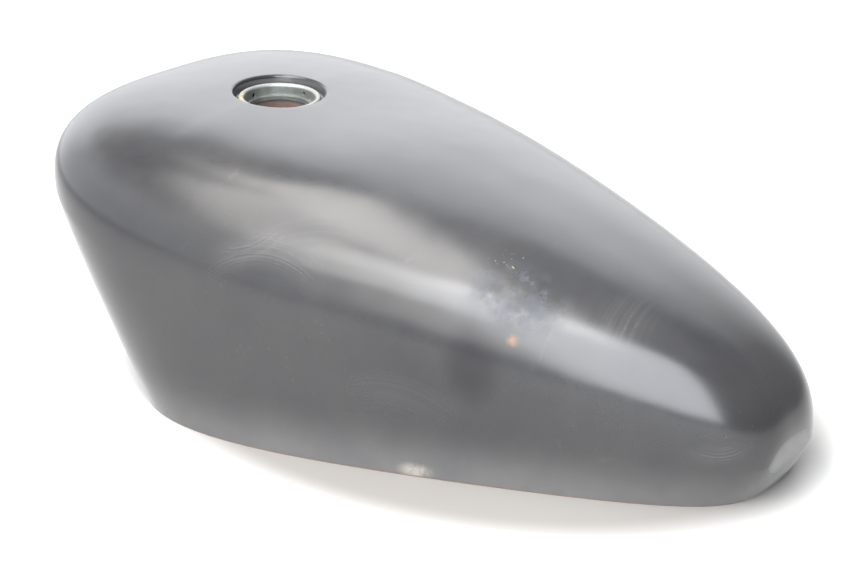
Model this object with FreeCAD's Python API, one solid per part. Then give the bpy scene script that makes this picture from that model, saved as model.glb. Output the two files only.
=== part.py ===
# Teardrop motorcycle fuel tank, built as the sheet-metal assembly it is.
# Units are millimetres. +X points to the nose, +Y to the rider's left, +Z up.
# The origin is on the plane of the lower rim, under the middle of the tank.
import FreeCAD, Part
import math
import os

Vector = FreeCAD.Vector

# ---- outer skin ------------------------------------------------------------
LENGTH = 560.0
WIDTH = 323.0
SHEET = 1.0
CROWN_X = 145.0             # centre of the filler, where the crown is highest
CROWN_Z = 189.0
CREST_NOSE_Z = 210.0        # height the crest line aims for at the nose tip
CREST_TAIL_Z = 115.0        # height the crest line aims for at the tail tip
CREST_FALL = 1.55           # how late the crest drops towards the tail
CROWN_TILT = 0.07           # rise per millimetre of the crown under the filler
CROWN_TILT_SPAN = 90.0
BELLY_Z = 74.5              # height of the widest line, amidships
BELLY_SLOPE = 0.223
BELLY_CURVE = 0.054
PLAN_NOSE_POWER = 0.704     # bluntness of the plan outline at the nose
PLAN_TAIL_POWER = 0.636
PLAN_TAPER = 0.50           # how much wider the plan is ahead of the middle
PLAN_TAPER_CURVE = 0.113
SHOULDER = 2.92             # squareness of the cross-section above the belly
SHOULDER_TAPER = -0.25
RIM_NOSE_X = 193.5
RIM_TAIL_X = -263.0
RIM_WIDTH = 324.0
RIM_TAIL_TUCK = 0.055
SIDE_TUCK = 1.147           # above 1 the side leaves the belly line vertically

# ---- tail facet ------------------------------------------------------------
TAIL_FACET_REACH = 265.2    # distance of the facet's plane from the origin
TAIL_FACET_LEAN = 12.0      # degrees below horizontal that the facet faces
TAIL_PLATE_THICK = 1.2

# ---- pan and frame tunnel --------------------------------------------------
FLOOR_NOSE_Z = 9.0          # underside of the floor at the rim's nose
FLOOR_RISE = 0.0804         # rise of the floor per millimetre rearwards
FLANGE = 8.0
TUNNEL_WIDTH = 80.0
TUNNEL_RADIUS = 25.0
TUNNEL_MOUTH_X = 262.0
TUNNEL_MOUTH_Z = 112.0
TUNNEL_END_X = -215.0
TUNNEL_END_Z = 42.0

# ---- filler ----------------------------------------------------------------
CUP_R = 33.0
CUP_DEPTH = 9.0
NECK_BORE_R = 25.5
NECK_R = 27.0
NECK_LIP_Z = -6.0           # centre of the rolled lip, below the skin
NECK_LIP_BEAD = 2.0
NECK_BOTTOM = -29.0
NECK_STEP_Z = -12.0         # the neck draws in here, and the locking ring lies below
NECK_LOW_BORE_R = 24.5
NECK_LOW_R = 26.0
NECK_SHOULDER = 1.5
VENTS = ((0.0, -10.2, 1.7), (-90.0, -8.8, 1.2))     # turn in degrees, height, radius
CAM_THICK = 3.0
CAM_BORE_R = 22.5
CAM_NOTCH = 10.0
CAM_TURN = 40.0             # degrees from the nose to the first notch

# ---- tubes, baffles --------------------------------------------------------
TUBE_R = 2.4
TUBE_BORE_R = 1.6
TUBE_SIDE_Y = 54.0
TUBE_END_Z = 3.0
HOSE_END_R = 3.0            # brazed ferrules that the hoses push onto
HOSE_END_TOP_Z = 11.0
NIPPLE_TOP_Z = 45.0         # below this the tubes run straight down
DRAIN_AT_R = 29.7
BREATHER_X = 165.0
BREATHER_TOP_Z = 172.0
BAFFLE_THICK = 0.8
BAFFLE_XS = (("baffle_front", 70.0), ("baffle_rear", -185.0))
BAFFLE_GAP = 0.3

# ---- rubber mountings ------------------------------------------------------
GAP = 0.05                  # radial clearance of nested round pieces
BOLT_BORE_R = 4.2
SLEEVE_R = 6.0
GROMMET_WAIST_R = 10.0
GROMMET_FLANGE_R = 14.0
GROMMET_FLANGE = 4.0
BRACKET_THICK = 3.0
FRONT_BOLT = (244.0, 46.0)  # x and z of the transverse bolt line
REAR_BOLT_X = -222.0
REAR_TAB_Z = 15.0
REAR_TAB_WIDTH = 36.0
REAR_WEB_X = -200.0
EAR_END_R = 17.0
EAR_ROOT_X = 172.0
EAR_ROOT_LOW = -20.0        # root heights are measured from the bolt line
EAR_ROOT_HIGH = 24.0
EAR_ROOT_LENGTH = 30.0

# ---- fuel tap --------------------------------------------------------------
TAP_AT = (-150.0, 60.0)
TAP_FLANGE = (50.0, 24.0)   # obround length and width
TAP_SCREW_X = 17.0
TAP_HOLE_R = 9.0
TAP_GASKET = 2.0
TAP_BOSS = 5.0
TAP_FLANGE_THICK = 5.0
TAP_BARREL_R = 11.0
TAP_BARREL_BOTTOM = -29.0
TAP_AXIS_Z = -17.0
TAP_FACE_R = 13.5
TAP_DRUM_Y = 4.0
TAP_FACE_Y = 18.0
TAP_COVER = 1.2
TAP_COVER_BORE_R = 6.5
COVER_SCREW_PCR = 11.4
COVER_SCREW_TURNS = (135.0, -45.0)
COVER_SCREW_HEAD_R = 2.4
COVER_SCREW_HEAD = 1.5
COVER_SCREW_DEPTH = 6.0
TAP_DISC_R = 9.0
TAP_DISC_THICK = 2.8
TAP_SHAFT_R = 3.0
TAP_HUB_R = 6.3
TAP_HANDLE = 18.0
TAP_HANDLE_R = 4.0
TAP_HANDLE_Y = (21.1, 25.0)
NIPPLE_R = 4.0
NIPPLE_BORE_R = 2.6
NIPPLE_Z = -22.0
NIPPLE_WALL_X = (14.0, 33.0)        # where the hose grips, towards the nose
NIPPLE_COLLAR_R = 6.0
NIPPLE_TIP = 3.0
STANDPIPE_R = 2.5
STANDPIPE_WALL = 0.6
STANDPIPE_TOP = 42.0
STRAINER_R = 7.5
STRAINER_WALL = 0.7
STRAINER_TOP = 30.0
STRAINER_SEAT_R = 8.6
STRAINER_SLOT = (3.2, 2.6)  # width and height of one window
STRAINER_ROWS = 6
STRAINER_PITCH = 4.0

# ---- level sender ----------------------------------------------------------
SENDER_AT = (-60.0, -80.0)
SENDER_R = 28.0
SENDER_HOLE_R = 18.0
SENDER_SCREW_PCR = 23.0
SENDER_SCREWS = 4
SENDER_PLATE = 2.0
SENDER_GASKET = 2.0
SENDER_RING = 4.0
TERMINAL = (18.0, 12.0, 9.0)
TERMINAL_WALL = 1.5
TERMINAL_FLOOR = 2.0
PIN_X = 4.0
PIN = (2.8, 0.8)
FRAME_WIDTH = 14.0
FRAME_SHEET = 2.0
FRAME_FOOT = (12.0, 1.5)    # length and thickness
CARD = (12.0, 18.0, 1.5)    # width, height and thickness of the resistor card
PIVOT_Z = 42.0              # height of the float pivot above the floor's underside
PIVOT_Y = 8.0
PIVOT_R = 2.0
PIVOT_HUB_R = 3.6
ARM_LENGTH = 85.0
ARM_DROP = 15.5             # the float hangs this far below the pivot when empty
ARM_WIRE_R = 1.2
FLOAT_R = 15.0
FLOAT_LENGTH = 24.0
FLOAT_EDGE = 3.0

M6_R = 3.0
M5_R = 2.5
M3_R = 1.5
FAR = 1000.0                # larger than the tank, for half-space cuts


# ---- small helpers ---------------------------------------------------------
def cylinder(radius, start, end):
    """A solid cylinder between two points."""
    axis = end.sub(start)
    return Part.makeCylinder(radius, axis.Length, start, axis)


def tube(radius, bore, start, end):
    return cylinder(radius, start, end).cut(cylinder(bore, start, end))


def block(low, high):
    size = high.sub(low)
    return Part.makeBox(size.x, size.y, size.z, low)


def turned(outline):
    """Revolve a closed (radius, height) outline about the local Z axis."""
    corners = [Vector(radius, 0, height) for radius, height in outline]
    face = Part.Face(Part.makePolygon(corners + corners[:1]))
    return face.revolve(Vector(), Vector(0, 0, 1), 360)


def obround(length, width, low, high):
    """A vertical slab with round ends, long in X."""
    straight = (length - width) / 2
    middle = block(Vector(-straight, -width / 2, low), Vector(straight, width / 2, high))
    ends = [cylinder(width / 2, Vector(x, 0, low), Vector(x, 0, high)) for x in (-straight, straight)]
    return middle.multiFuse(ends).removeSplitter()


def around(count, radius, height=0.0, first=0.0):
    """Points evenly spaced on a horizontal circle."""
    turns = [math.radians(first + 360.0 * i / count) for i in range(count)]
    return [Vector(radius * math.cos(a), radius * math.sin(a), height) for a in turns]


def swept_tube(points, radius, bore):
    """A bent tube that ends straight down, with a ferrule for a hose."""
    down = Vector(0, 0, -1)
    curve = Part.BSplineCurve()
    curve.interpolate(Points=points, InitialTangent=down, FinalTangent=down)
    end = Vector(points[-1].x, points[-1].y, TUBE_END_Z)
    path = Part.Wire([curve.toShape(), Part.makeLine(points[-1], end)])
    solids = []
    for size in (radius, bore):
        circle = Part.Wire(Part.makeCircle(size, points[0], down))
        solids.append(path.makePipeShell([circle], True, False))
    ferrule = tube(HOSE_END_R, bore, Vector(end.x, end.y, HOSE_END_TOP_Z), end)
    return solids[0].cut(solids[1]).fuse(ferrule)


def placed(shape, placement):
    moved = shape.copy()
    moved.Placement = placement.multiply(moved.Placement)
    return moved


def mirrored(shape):
    """The same piece on the other side of the tank."""
    return shape.mirror(Vector(), Vector(0, 1, 0))


def export(name, shape):
    if isinstance(shape, list):
        shape = Part.makeCompound(shape)
    shape.exportStep("parts/%s.step" % name)


# ---- skin surface ----------------------------------------------------------
def plan_shape(angle):
    """Width of the plan outline at an angle from the nose, before normalising."""
    c = math.cos(angle)
    s = math.sin(angle)
    power = PLAN_NOSE_POWER * (1 + c) / 2 + PLAN_TAIL_POWER * (1 - c) / 2
    return math.copysign(abs(s) ** power, s) * (1 + PLAN_TAPER * c + PLAN_TAPER_CURVE * c * c)


PLAN_PEAK = max(plan_shape(math.radians(step / 4)) for step in range(720))


def crest_height(x):
    if x > CROWN_X:
        run = (x - CROWN_X) / (LENGTH / 2 - CROWN_X)
        height = CROWN_Z + (CREST_NOSE_Z - CROWN_Z) * run ** 2
    else:
        run = (CROWN_X - x) / (LENGTH / 2 + CROWN_X)
        height = CROWN_Z - (CROWN_Z - CREST_TAIL_Z) * run ** CREST_FALL
    from_crown = x - CROWN_X
    return height + CROWN_TILT * from_crown * math.exp(-(from_crown / CROWN_TILT_SPAN) ** 2)


def belly_height(x):
    return BELLY_Z + BELLY_SLOPE * x + BELLY_CURVE * x * x / (LENGTH / 2)


def skin_point(angle, level):
    """Point on the outer skin: level 0 is the crown, 1 the belly line, 2 the rim."""
    c = math.cos(angle)
    plan = plan_shape(angle) / PLAN_PEAK
    x_belly = LENGTH / 2 * c
    y_belly = WIDTH / 2 * plan
    if level <= 1:
        power = 2 / (SHOULDER + SHOULDER_TAPER * c)
        reach = math.sin(level * math.pi / 2) ** power
        lift = max(math.cos(level * math.pi / 2), 0) ** power
        x = CROWN_X + (x_belly - CROWN_X) * reach
        z = belly_height(x) + (crest_height(x) - belly_height(x)) * lift
        return Vector(x, y_belly * reach, z)
    drop = level - 1
    tuck = drop ** SIDE_TUCK
    x_rim = (RIM_NOSE_X + RIM_TAIL_X) / 2 + (RIM_NOSE_X - RIM_TAIL_X) / 2 * c
    y_rim = RIM_WIDTH / 2 * plan * (1 - RIM_TAIL_TUCK * (1 - c) / 2)
    x = x_belly + (x_rim - x_belly) * tuck
    y = y_belly + (y_rim - y_belly) * tuck
    return Vector(x, y, belly_height(x_belly) * (1 - drop))


def inset_point(angle, level, inset):
    """The skin point moved inwards along the skin's normal."""
    point = skin_point(angle, level)
    if not inset:
        return point
    step = 0.002
    along = skin_point(angle + step, level).sub(skin_point(angle - step, level))
    down = skin_point(angle, min(level + step, 2)).sub(skin_point(angle, level - step))
    normal = along.cross(down).normalize()
    if normal.dot(point.sub(Vector(0, 0, BELLY_Z))) < 0:
        normal = normal.negative()
    return point.sub(normal.multiply(inset))


HALF_POINTS = 28
HALF_ANGLES = [math.pi / 2 * (1 - math.cos(math.pi * i / HALF_POINTS)) for i in range(HALF_POINTS + 1)]
CROWN_TURNS = (0.2, 1, 3, 6, 11, 17, 24, 31, 38, 45, 52, 59, 66, 73, 79, 85, 90)
CROWN_LEVELS = [degrees / 90 for degrees in CROWN_TURNS]
SIDE_LEVELS = [1.06, 1.15, 1.27, 1.4, 1.55, 1.7, 1.85, 2.0]
BELOW_RIM = -8.0


def half_skin(rows):
    """Smooth face through rows of points that run from the nose to the tail."""
    surface = Part.BSplineSurface()
    surface.interpolate(rows)
    return surface.toShape()


def flat_cap(left, right):
    """Plane face between the edges where two mirrored half skins end."""
    return Part.Face(Part.Wire(Part.__sortEdges__([left, right])))


def end_edge(face, row):
    """The edge of a half skin that runs along a row of its points."""
    def miss(edge):
        nearest = [edge.distToShape(Part.Vertex(point))[0] for point in row]
        return sum(nearest)
    return min(face.Edges, key=miss)


def skin_solid(inset=0.0):
    """The closed form inside the skin, moved inwards by inset."""
    rows = [[inset_point(angle, level, inset) for angle in HALF_ANGLES]
            for level in CROWN_LEVELS + SIDE_LEVELS]
    cap_height = sum(point.z for point in rows[0]) / len(rows[0])
    rows[0] = [Vector(point.x, point.y, cap_height) for point in rows[0]]
    if inset:
        below = []
        for upper, lower in zip(rows[-2], rows[-1]):
            wall = lower.sub(upper)
            below.append(lower.add(wall.multiply((BELOW_RIM - lower.z) / wall.z)))
        rows.append(below)
    for row in rows:
        row[0].y = 0.0
        row[-1].y = 0.0
    left = half_skin(rows)
    right = half_skin([[Vector(point.x, -point.y, point.z) for point in row] for row in rows])
    mirrored_rows = [[Vector(point.x, -point.y, point.z) for point in row] for row in (rows[0], rows[-1])]
    caps = [flat_cap(end_edge(left, row), end_edge(right, twin))
            for row, twin in zip((rows[0], rows[-1]), mirrored_rows)]
    shell = Part.makeShell([left, right] + caps)
    shell.sewShape()
    return Part.makeSolid(shell)


OUTER = skin_solid()
INNER = skin_solid(SHEET)

FILLER_PLACE = FreeCAD.Placement(
    Vector(CROWN_X, 0, CROWN_Z), FreeCAD.Rotation(Vector(0, 1, 0), -math.degrees(math.atan(CROWN_TILT))))


# ---- pan geometry shared by several pieces ---------------------------------
FLOOR_LEAN = math.degrees(math.atan(FLOOR_RISE))


def floor_height(x):
    """Height of the floor's underside."""
    return FLOOR_NOSE_Z + FLOOR_RISE * (RIM_NOSE_X - x)


def on_floor(at):
    """Placement whose local Z is the floor's normal, with zero on its underside."""
    x, y = at
    return FreeCAD.Placement(Vector(x, y, floor_height(x)), FreeCAD.Rotation(Vector(0, 1, 0), FLOOR_LEAN))


def floor_layer(low, high):
    """A layer parallel to the floor, between two heights from its underside."""
    slab = block(Vector(-FAR, -FAR, low), Vector(FAR, FAR, high))
    return placed(slab, on_floor((0.0, 0.0)))


def tunnel_form(inset=0.0):
    """The inverted U that clears the frame tube, running down towards the tail."""
    half = TUNNEL_WIDTH / 2 - inset
    radius = TUNNEL_RADIUS - inset
    fall = (TUNNEL_MOUTH_Z - TUNNEL_END_Z) / (TUNNEL_MOUTH_X - TUNNEL_END_X)
    start_x = LENGTH / 2 + 40
    top = TUNNEL_MOUTH_Z + fall * (start_x - TUNNEL_MOUTH_X) - inset
    bottom = -LENGTH / 2
    bend = radius * (1 - math.sqrt(0.5))

    def at(y, z):
        return Vector(start_x, y, z)

    edges = [
        Part.makeLine(at(-half, bottom), at(-half, top - radius)),
        Part.Arc(at(-half, top - radius), at(-half + bend, top - bend), at(-half + radius, top)).toShape(),
        Part.makeLine(at(-half + radius, top), at(half - radius, top)),
        Part.Arc(at(half - radius, top), at(half - bend, top - bend), at(half, top - radius)).toShape(),
        Part.makeLine(at(half, top - radius), at(half, bottom)),
        Part.makeLine(at(half, bottom), at(-half, bottom)),
    ]
    run = start_x - TUNNEL_END_X + 12
    return Part.Face(Part.Wire(edges)).extrude(Vector(-run, 0, -run * fall))


TUNNEL_OUTER = tunnel_form()
TUNNEL_INNER = tunnel_form(SHEET)


# ---- pieces ----------------------------------------------------------------
def tail_layer(low, high):
    """A layer parallel to the tail facet, at distances from the origin."""
    slab = block(Vector(low, -FAR, -FAR), Vector(high, FAR, FAR))
    turn = FreeCAD.Rotation(Vector(0, 1, 0), 180 - TAIL_FACET_LEAN)
    return placed(slab, FreeCAD.Placement(Vector(), turn))


def shells():
    """Left and right pressings, welded and ground flush along the centre line."""
    filler_hole = placed(cylinder(CUP_R, Vector(0, 0, -60), Vector(0, 0, 40)), FILLER_PLACE)
    skin = OUTER.cut(INNER).cut(filler_hole).cut(TUNNEL_OUTER).cut(tail_layer(TAIL_FACET_REACH, FAR))
    left = skin.common(block(Vector(-FAR, 0, -FAR), Vector(FAR, FAR, FAR)))
    right = skin.common(block(Vector(-FAR, -FAR, -FAR), Vector(FAR, 0, FAR)))
    export("shell_left", left)
    export("shell_right", right)


def tail_plate():
    """Flat plate let into the rounded tail."""
    layer = tail_layer(TAIL_FACET_REACH - TAIL_PLATE_THICK, TAIL_FACET_REACH)
    tail_half = block(Vector(-FAR, -FAR, 0), Vector(0, FAR, FAR))
    export("tail_plate", INNER.common(layer).common(tail_half))


def floor_holes():
    """Cutters for everything that passes through the floor."""
    tap = on_floor(TAP_AT)
    sender = on_floor(SENDER_AT)
    low = -20.0
    high = 20.0
    cutters = [placed(cylinder(TAP_HOLE_R, Vector(0, 0, low), Vector(0, 0, high)), tap),
               placed(cylinder(SENDER_HOLE_R, Vector(0, 0, low), Vector(0, 0, high)), sender)]
    for x in (-TAP_SCREW_X, TAP_SCREW_X):
        cutters.append(placed(cylinder(M6_R + GAP, Vector(x, 0, low), Vector(x, 0, high)), tap))
    for point in around(SENDER_SCREWS, SENDER_SCREW_PCR, low, 45):
        cutters.append(placed(cylinder(M5_R + GAP, point, point.add(Vector(0, 0, high - low))), sender))
    for x, y in ((CROWN_X, -TUBE_SIDE_Y), (BREATHER_X, TUBE_SIDE_Y)):
        cutters.append(cylinder(TUBE_R + GAP, Vector(x, y, -20), Vector(x, y, 40)))
    return cutters


def tunnel_pan():
    """Floor, turned-down flange and frame tunnel, pressed as one panel."""
    floor = INNER.common(floor_layer(0, SHEET)).cut(TUNNEL_OUTER)
    flange = INNER.cut(skin_solid(2 * SHEET)).common(floor_layer(-FLANGE, SHEET)).cut(TUNNEL_OUTER)
    flange = flange.common(block(Vector(-FAR, -FAR, 0), Vector(FAR, FAR, FAR)))
    tunnel = TUNNEL_OUTER.cut(TUNNEL_INNER).common(OUTER).common(floor_layer(0, FAR))
    pan = floor.multiFuse([flange, tunnel]).removeSplitter()
    pan = pan.cut(tail_layer(TAIL_FACET_REACH - TAIL_PLATE_THICK, FAR))
    for cutter in floor_holes():
        pan = pan.cut(cutter)
    export("tunnel_pan", pan)


def filler():
    """Recessed cup, neck with rolled lip and vents, and the cap's locking ring."""
    wall_in = CUP_R - SHEET
    floor_top = -CUP_DEPTH + SHEET
    cup = turned([(NECK_R, -CUP_DEPTH), (CUP_R, -CUP_DEPTH), (CUP_R, 4.0), (wall_in, 4.0),
                  (wall_in, floor_top), (NECK_R, floor_top)])
    cup = placed(cup, FILLER_PLACE).common(OUTER)
    drain_hole = cylinder(TUBE_BORE_R, Vector(0, -DRAIN_AT_R, -20), Vector(0, -DRAIN_AT_R, 0))
    export("filler_cup", cup.cut(placed(drain_hole, FILLER_PLACE)))

    lip_r = NECK_BORE_R + NECK_LIP_BEAD
    neck = turned([
        (NECK_LOW_BORE_R, NECK_BOTTOM), (NECK_LOW_R, NECK_BOTTOM), (NECK_LOW_R, NECK_STEP_Z - NECK_SHOULDER),
        (NECK_R, NECK_STEP_Z - NECK_SHOULDER), (NECK_R, NECK_LIP_Z), (NECK_BORE_R, NECK_LIP_Z),
        (NECK_BORE_R, NECK_STEP_Z), (NECK_LOW_BORE_R, NECK_STEP_Z)])
    bead = Part.makeTorus(lip_r, NECK_LIP_BEAD, Vector(0, 0, NECK_LIP_Z), Vector(0, 0, 1))
    inside = cylinder(NECK_BORE_R, Vector(0, 0, NECK_STEP_Z), Vector(0, 0, 0))
    neck = neck.fuse(bead).cut(inside)
    neck = neck.cut(cup_floor_band())
    for turn, height, radius in VENTS:
        outward = around(1, CUP_R, height, turn)[0]
        neck = neck.cut(cylinder(radius, Vector(0, 0, height), outward))
    export("filler_neck", placed(neck, FILLER_PLACE))

    cam_low = NECK_STEP_Z - CAM_THICK
    cam = tube(NECK_LOW_BORE_R, CAM_BORE_R, Vector(0, 0, cam_low), Vector(0, 0, NECK_STEP_Z))
    notch = block(Vector(-FAR, -CAM_NOTCH / 2, cam_low), Vector(FAR, CAM_NOTCH / 2, NECK_STEP_Z))
    notch.rotate(Vector(), Vector(0, 0, 1), CAM_TURN)
    reach = cylinder(NECK_LOW_BORE_R - 0.6, Vector(0, 0, cam_low), Vector(0, 0, NECK_STEP_Z))
    export("filler_cam_ring", placed(cam.cut(notch.common(reach)), FILLER_PLACE))


def cup_floor_band():
    """The space the cup's floor takes outside the neck's wall."""
    return tube(CUP_R, NECK_R, Vector(0, 0, -CUP_DEPTH), Vector(0, 0, -CUP_DEPTH + SHEET))


def tubes():
    """Recess drain on the right, breather on the left, both out through the floor."""
    drain = [
        FILLER_PLACE.multVec(Vector(0, -DRAIN_AT_R, -CUP_DEPTH - GAP - TUBE_R * CROWN_TILT)),
        Vector(CROWN_X, -DRAIN_AT_R - 2, 147),
        Vector(CROWN_X, -TUBE_SIDE_Y + 2, 105),
        Vector(CROWN_X, -TUBE_SIDE_Y, NIPPLE_TOP_Z),
    ]
    export("drain_tube", swept_tube(drain, TUBE_R, TUBE_BORE_R))
    breather = [
        Vector(BREATHER_X, 38, BREATHER_TOP_Z),
        Vector(BREATHER_X, 46, 120),
        Vector(BREATHER_X, TUBE_SIDE_Y, NIPPLE_TOP_Z),
    ]
    export("breather_tube", swept_tube(breather, TUBE_R, TUBE_BORE_R))


def baffles():
    """Cross sheets with round windows that stop the fuel surging."""
    room = skin_solid(SHEET + BAFFLE_GAP).cut(tunnel_form(-BAFFLE_GAP))
    room = room.common(floor_layer(SHEET + BAFFLE_GAP, FAR))
    for name, x in BAFFLE_XS:
        sheet = room.common(block(Vector(x, -FAR, 0), Vector(x + BAFFLE_THICK, FAR, FAR)))
        top = crest_height(x)
        low = floor_height(x)
        middle = low + 0.45 * (top - low)
        radius = 0.13 * (top - low)
        spread = 0.45 * sheet.BoundBox.YLength / 2 + TUNNEL_WIDTH / 4
        for y, z in ((-spread, middle), (spread, middle), (0, low + 0.8 * (top - low))):
            sheet = sheet.cut(cylinder(radius, Vector(x - 5, y, z), Vector(x + 5, y, z)))
        export(name, sheet)


def grommet():
    """Grooved rubber bush about local Z, centred on its groove."""
    half = BRACKET_THICK / 2 + GAP
    tall = half + GROMMET_FLANGE
    waist = GROMMET_WAIST_R - GAP
    bore = SLEEVE_R + GAP
    crown = GROMMET_FLANGE_R - 1.5
    return turned([(bore, -tall), (crown, -tall), (GROMMET_FLANGE_R, -tall + 1.5), (GROMMET_FLANGE_R, -half),
                   (waist, -half), (waist, half), (GROMMET_FLANGE_R, half), (GROMMET_FLANGE_R, tall - 1.5),
                   (crown, tall), (bore, tall)])


SLEEVE_HALF = BRACKET_THICK / 2 + GROMMET_FLANGE + 1.0


def sleeve():
    """Steel spacer that the mounting bolt clamps, about local Z."""
    return tube(SLEEVE_R, BOLT_BORE_R, Vector(0, 0, -SLEEVE_HALF), Vector(0, 0, SLEEVE_HALF))


def front_mounts():
    """Two ears that reach forwards from the tunnel walls, under the nose."""
    x, z = FRONT_BOLT
    wall_y = TUNNEL_WIDTH / 2 - SHEET
    outer = cylinder(EAR_END_R, Vector(x, wall_y - BRACKET_THICK, z), Vector(x, wall_y, z))
    corners = [
        (EAR_ROOT_X, z + EAR_ROOT_LOW),
        (EAR_ROOT_X, z + EAR_ROOT_HIGH),
        (EAR_ROOT_X + EAR_ROOT_LENGTH, z + EAR_ROOT_HIGH),
        (x + 6, z + EAR_END_R - 1.2),
        (x + 2, z - EAR_END_R + 0.1),
    ]
    points = [Vector(px, wall_y - BRACKET_THICK, pz) for px, pz in corners]
    web = Part.Face(Part.makePolygon(points + points[:1])).extrude(Vector(0, BRACKET_THICK, 0))
    hole = cylinder(GROMMET_WAIST_R, Vector(x, 0, z), Vector(x, 60, z))
    ear = outer.fuse(web).removeSplitter().cut(hole)
    export("front_bracket_left", ear)
    export("front_bracket_right", mirrored(ear))
    quarter_turn = FreeCAD.Rotation(Vector(1, 0, 0), 90)
    sideways = FreeCAD.Placement(Vector(x, wall_y - BRACKET_THICK / 2, z), quarter_turn)
    for name, piece in (("front_grommets", grommet()), ("front_sleeves", sleeve())):
        left = placed(piece, sideways)
        export(name, [left, mirrored(left)])


def rear_mount():
    """Angle tab under the tail with one vertical bush."""
    half = REAR_TAB_WIDTH / 2
    web = block(Vector(REAR_WEB_X - BRACKET_THICK, -half, REAR_TAB_Z), Vector(REAR_WEB_X, half, 80))
    web = web.cut(floor_layer(0, FAR))
    tab_top = REAR_TAB_Z + BRACKET_THICK
    end = cylinder(half, Vector(REAR_BOLT_X, 0, REAR_TAB_Z), Vector(REAR_BOLT_X, 0, tab_top))
    tab = block(Vector(REAR_BOLT_X, -half, REAR_TAB_Z), Vector(REAR_WEB_X, half, tab_top))
    hole = cylinder(GROMMET_WAIST_R, Vector(REAR_BOLT_X, 0, 0), Vector(REAR_BOLT_X, 0, 40))
    export("rear_bracket", web.multiFuse([end, tab]).removeSplitter().cut(hole))
    centre = FreeCAD.Placement(Vector(REAR_BOLT_X, 0, REAR_TAB_Z + BRACKET_THICK / 2), FreeCAD.Rotation())
    export("rear_grommet", placed(grommet(), centre))
    export("rear_sleeve", placed(sleeve(), centre))


def hex_screw(radius, head_r, head, shank):
    """Hexagon-head screw about local Z: the head hangs below zero, the shank stands above."""
    corners = around(6, head_r, -head)
    prism = Part.Face(Part.makePolygon(corners + corners[:1])).extrude(Vector(0, 0, head))
    crown = Part.makeCone(head_r * 0.86, head_r * 1.15, head, Vector(0, 0, -head), Vector(0, 0, 1))
    return prism.common(crown).fuse(cylinder(radius, Vector(0, 0, 0), Vector(0, 0, shank)))


def raised(place, point, height):
    """The same placement, moved along its own axes to a point and height."""
    return place.multiply(FreeCAD.Placement(point.add(Vector(0, 0, height)), FreeCAD.Rotation()))


def tap_fixed_pieces(place):
    """Everything of the fuel tap that stays still."""
    length, width = TAP_FLANGE
    flange_low = -TAP_GASKET - TAP_FLANGE_THICK
    boss_high = SHEET + TAP_BOSS
    screw_points = [Vector(x, 0, 0) for x in (-TAP_SCREW_X, TAP_SCREW_X)]
    reach = Vector(0, 0, 30)
    screw_holes = [cylinder(M6_R + GAP, point.sub(reach), point.add(reach)) for point in screw_points]
    centre_hole = cylinder(TAP_HOLE_R, reach.negative(), reach)

    gasket = obround(length, width, -TAP_GASKET, 0).cut(centre_hole)
    boss = obround(length, width, SHEET, boss_high).cut(centre_hole)
    for hole in screw_holes:
        gasket = gasket.cut(hole)
        boss = boss.cut(hole)
    export("tap_gasket", placed(gasket, place))
    export("tap_boss", placed(boss, place))

    screw = hex_screw(M6_R, 5.4, 4.0, boss_high - flange_low)
    export("tap_screws", [placed(screw, raised(place, point, flange_low)) for point in screw_points])

    turns = [math.radians(turn) for turn in COVER_SCREW_TURNS]
    cover_points = [Vector(COVER_SCREW_PCR * math.cos(turn), TAP_FACE_Y,
                           TAP_AXIS_Z + COVER_SCREW_PCR * math.sin(turn)) for turn in turns]
    export("tap_body", placed(tap_casting(flange_low, screw_holes, cover_points), place))
    tap_cover(place, cover_points)

    pipe = tube(STANDPIPE_R, STANDPIPE_R - STANDPIPE_WALL, Vector(0, 0, flange_low - 3),
                Vector(0, 0, STANDPIPE_TOP))
    export("tap_standpipe", placed(pipe, place))
    export("tap_strainer", placed(strainer(), place))


def tap_casting(flange_low, screw_holes, cover_points):
    """Flange, barrel, valve drum and hose nipple, cast in one."""
    length, width = TAP_FLANGE
    nipple_base = Vector(0, 0, NIPPLE_Z)
    collar_end, wall_end = [Vector(x, 0, NIPPLE_Z) for x in NIPPLE_WALL_X]
    forward = Vector(1, 0, 0)
    nipple_tip = wall_end.add(Vector(NIPPLE_TIP, 0, 0))
    barrel = cylinder(TAP_BARREL_R, Vector(0, 0, TAP_BARREL_BOTTOM), Vector(0, 0, flange_low))
    drum = cylinder(TAP_FACE_R, Vector(0, TAP_DRUM_Y, TAP_AXIS_Z), Vector(0, TAP_FACE_Y, TAP_AXIS_Z))
    collar = cylinder(NIPPLE_COLLAR_R, nipple_base, collar_end)
    nipple = cylinder(NIPPLE_R, nipple_base, wall_end)
    lead_in = Part.makeCone(NIPPLE_R, NIPPLE_R - 0.7, NIPPLE_TIP, wall_end, forward)
    body = obround(length, width, flange_low, -TAP_GASKET)
    body = body.multiFuse([barrel, drum, collar, nipple, lead_in])
    body = body.removeSplitter()
    recess_y = TAP_FACE_Y - TAP_DISC_THICK - 2 * GAP
    outside = Vector(0, FAR, TAP_AXIS_Z)
    cutters = screw_holes + [
        cylinder(NIPPLE_BORE_R, nipple_base, nipple_tip.add(forward)),
        cylinder(STANDPIPE_R + GAP, nipple_base, Vector(0, 0, 0)),
        cylinder(TAP_SHAFT_R + GAP, Vector(0, 5, TAP_AXIS_Z), outside),
        cylinder(TAP_DISC_R + 0.2, Vector(0, recess_y, TAP_AXIS_Z), outside),
    ]
    for point in cover_points:
        inner_end = point.sub(Vector(0, COVER_SCREW_DEPTH, 0))
        cutters.append(cylinder(M3_R + GAP, inner_end, point.add(Vector(0, 1, 0))))
    for cutter in cutters:
        body = body.cut(cutter)
    return body


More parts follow.
